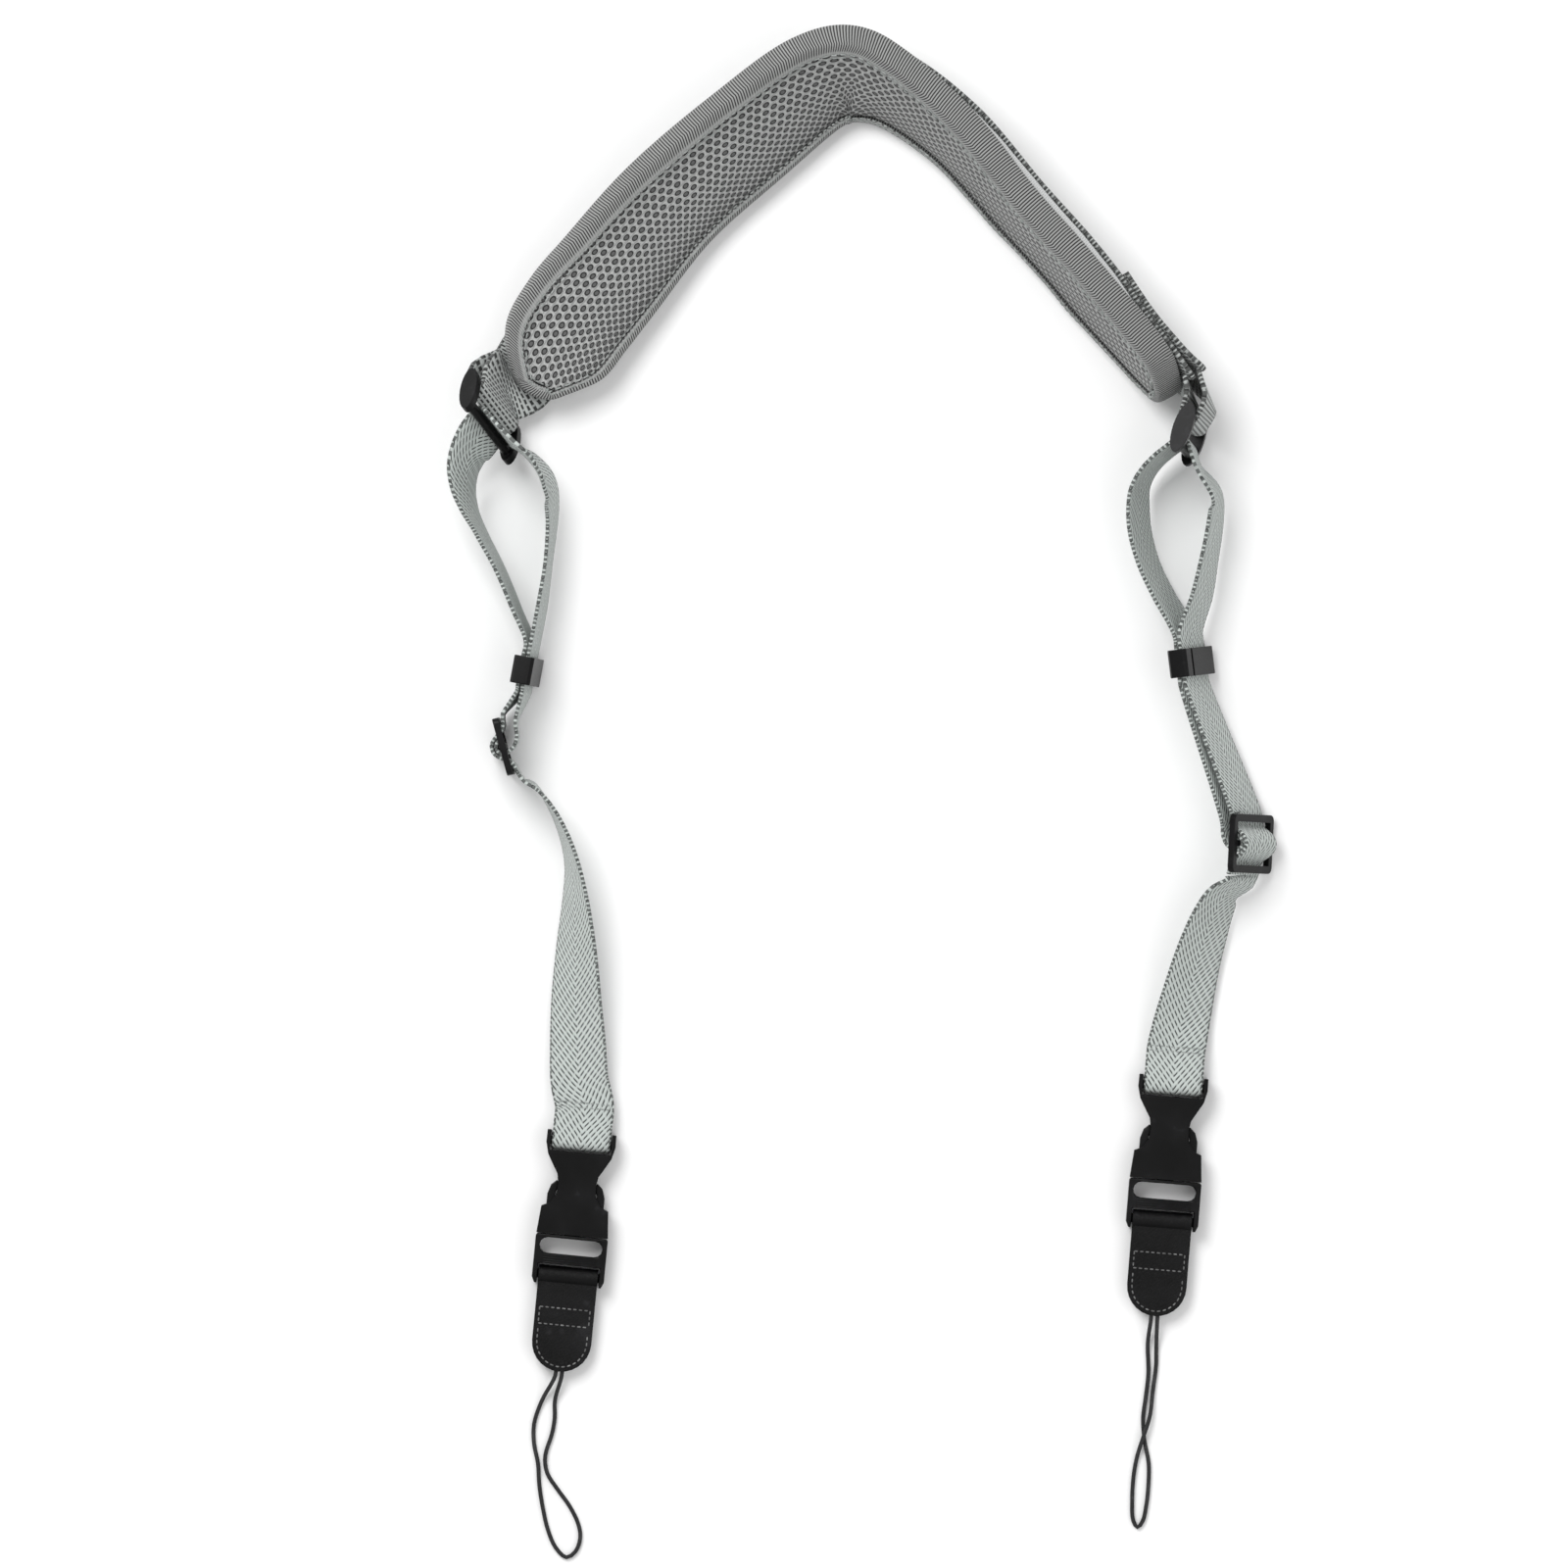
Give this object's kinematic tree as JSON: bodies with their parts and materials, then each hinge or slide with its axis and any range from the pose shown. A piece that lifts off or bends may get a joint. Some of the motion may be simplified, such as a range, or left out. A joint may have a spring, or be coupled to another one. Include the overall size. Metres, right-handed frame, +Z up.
{
  "type": "padded neck strap with quick-release ends",
  "caption": "Curved padded neck strap with grey webbing, ring links, sliding adjusters and side-release buckles that end in leather tabs with thin cord loops.",
  "frame": {"origin": "centre of the plan outline of everything but the two cord loops, on the table the strap lies on", "axes": "+Y from the buckles towards the apex of the pad, +X from the left strap to the right strap seen from above, +Z up from the table"},
  "size_m": [0.282, 0.5213, 0.0414],
  "materials": {
    "foam": "matte",
    "mesh": "matte",
    "pad_fabric": "matte",
    "wide_webbing": "matte",
    "slim_webbing": "matte",
    "plastic": "satin",
    "leather": "satin",
    "cord": "matte"
  },
  "bodies": {
    "pad": {"foam_core": "foam", "mesh_lining": "mesh", "outer_cover": "pad_fabric", "edge_binding": "pad_fabric", "spine_webbing": "wide_webbing"},
    "ring_left": {"ring_left": "plastic"},
    "strap_left": {"loop_webbing_left": "slim_webbing"},
    "keeper_left": {"keeper_left": "plastic"},
    "adjuster_left": {"adjuster_left": "plastic"},
    "lower_left": {"lower_webbing_left": "slim_webbing"},
    "socket_left": {"socket_left": "plastic"},
    "clip_left": {"clip_left": "plastic"},
    "prong_near_left": {"prong_near_left": "plastic"},
    "prong_far_left": {"prong_far_left": "plastic"},
    "tab_left": {"leather_tab_left": "leather", "cord_knot_left": "cord", "cord_loop_left": "cord"},
    "ring_right": {"ring_right": "plastic"},
    "strap_right": {"loop_webbing_right": "slim_webbing"},
    "keeper_right": {"keeper_right": "plastic"},
    "adjuster_right": {"adjuster_right": "plastic"},
    "lower_right": {"lower_webbing_right": "slim_webbing"},
    "socket_right": {"socket_right": "plastic"},
    "clip_right": {"clip_right": "plastic"},
    "prong_near_right": {"prong_near_right": "plastic"},
    "prong_far_right": {"prong_far_right": "plastic"},
    "tab_right": {"leather_tab_right": "leather", "cord_knot_right": "cord", "cord_loop_right": "cord"}
  },
  "joints": [
    {"name": "ring_swing_left", "type": "hinge", "parent": "pad", "child": "ring_left", "pos_m": [-0.1257, 0.09958, 0.01508], "axis": [0.4676, -0.6057, -0.6438], "range_deg": [-15, 15]},
    {"name": "strap_swing_left", "type": "hinge", "parent": "ring_left", "child": "strap_left", "pos_m": [-0.12682, 0.09194, 0.02144], "axis": [0.4676, -0.6057, -0.6438], "range_deg": [-10, 10]},
    {"name": "keeper_slide_left", "type": "slide", "parent": "strap_left", "child": "keeper_left", "axis": [-0.1807, -0.9835, 0], "range_m": [-0.006, 0.006]},
    {"name": "adjuster_slide_left", "type": "slide", "parent": "strap_left", "child": "adjuster_left", "axis": [0.2639, -0.9646, 0], "range_m": [-0.005, 0.005], "deforming": ["loop_webbing_left"]},
    {"name": "webbing_feed_left", "type": "slide", "parent": "adjuster_left", "child": "lower_left", "axis": [0.2639, -0.9646, 0], "range_m": [-0.01, 0.01], "deforming": ["lower_webbing_left"]},
    {"name": "socket_fold_left", "type": "hinge", "parent": "lower_left", "child": "socket_left", "pos_m": [-0.09548, -0.15074, 0.00426], "axis": [-0.9952, 0.0974, 0], "range_deg": [-60, 60]},
    {"name": "clip_release_left", "type": "slide", "parent": "socket_left", "child": "clip_left", "axis": [-0.0974, -0.9952, 0], "range_m": [0, 0.03]},
    {"name": "prong_near_flex_left", "type": "hinge", "parent": "clip_left", "child": "prong_near_left", "pos_m": [-0.09122, -0.18311, 0.00426], "axis": [0, 0, 1], "range_deg": [0, 5], "stiffness_Nm_per_rad": 0.2},
    {"name": "prong_far_flex_left", "type": "hinge", "parent": "clip_left", "child": "prong_far_left", "pos_m": [-0.10594, -0.18167, 0.00426], "axis": [0, 0, 1], "range_deg": [-5, 0], "stiffness_Nm_per_rad": 0.2},
    {"name": "tab_fold_left", "type": "hinge", "parent": "clip_left", "child": "tab_left", "pos_m": [-0.09992, -0.19613, 0.00426], "axis": [-0.9952, 0.0974, 0], "range_deg": [-60, 60]},
    {"name": "ring_swing_right", "type": "hinge", "parent": "pad", "child": "ring_right", "pos_m": [0.11239, 0.09446, 0.01701], "axis": [0.15, -0.146, -0.9779], "range_deg": [-15, 15]},
    {"name": "strap_swing_right", "type": "hinge", "parent": "ring_right", "child": "strap_right", "pos_m": [0.10909, 0.08506, 0.01791], "axis": [0.15, -0.146, -0.9779], "range_deg": [-10, 10]},
    {"name": "keeper_slide_right", "type": "slide", "parent": "strap_right", "child": "keeper_right", "axis": [0.1203, -0.9927, 0], "range_m": [-0.006, 0.006]},
    {"name": "adjuster_slide_right", "type": "slide", "parent": "strap_right", "child": "adjuster_right", "axis": [-0.05, -0.9987, 0], "range_m": [-0.005, 0.005], "deforming": ["loop_webbing_right"]},
    {"name": "webbing_feed_right", "type": "slide", "parent": "adjuster_right", "child": "lower_right", "axis": [-0.05, -0.9987, 0], "range_m": [-0.01, 0.01], "deforming": ["lower_webbing_right"]},
    {"name": "socket_fold_right", "type": "hinge", "parent": "lower_right", "child": "socket_right", "pos_m": [0.1057, -0.13174, 0.00426], "axis": [-0.9967, 0.0813, 0], "range_deg": [-60, 60]},
    {"name": "clip_release_right", "type": "slide", "parent": "socket_right", "child": "clip_right", "axis": [-0.0813, -0.9967, 0], "range_m": [0, 0.03]},
    {"name": "prong_near_flex_right", "type": "hinge", "parent": "clip_right", "child": "prong_near_right", "pos_m": [0.11049, -0.16404, 0.00426], "axis": [0, 0, 1], "range_deg": [0, 5], "stiffness_Nm_per_rad": 0.2},
    {"name": "prong_far_flex_right", "type": "hinge", "parent": "clip_right", "child": "prong_far_right", "pos_m": [0.09574, -0.16284, 0.00426], "axis": [0, 0, 1], "range_deg": [-5, 0], "stiffness_Nm_per_rad": 0.2},
    {"name": "tab_fold_right", "type": "hinge", "parent": "clip_right", "child": "tab_right", "pos_m": [0.102, -0.17719, 0.00426], "axis": [-0.9967, 0.0813, 0], "range_deg": [-60, 60]}
  ],
  "couplings": [
    {"joint": "webbing_feed_left", "follows": "adjuster_slide_left", "ratio": -2},
    {"joint": "prong_far_flex_left", "follows": "prong_near_flex_left", "ratio": -1},
    {"joint": "webbing_feed_right", "follows": "adjuster_slide_right", "ratio": -2},
    {"joint": "prong_far_flex_right", "follows": "prong_near_flex_right", "ratio": -1}
  ]
}
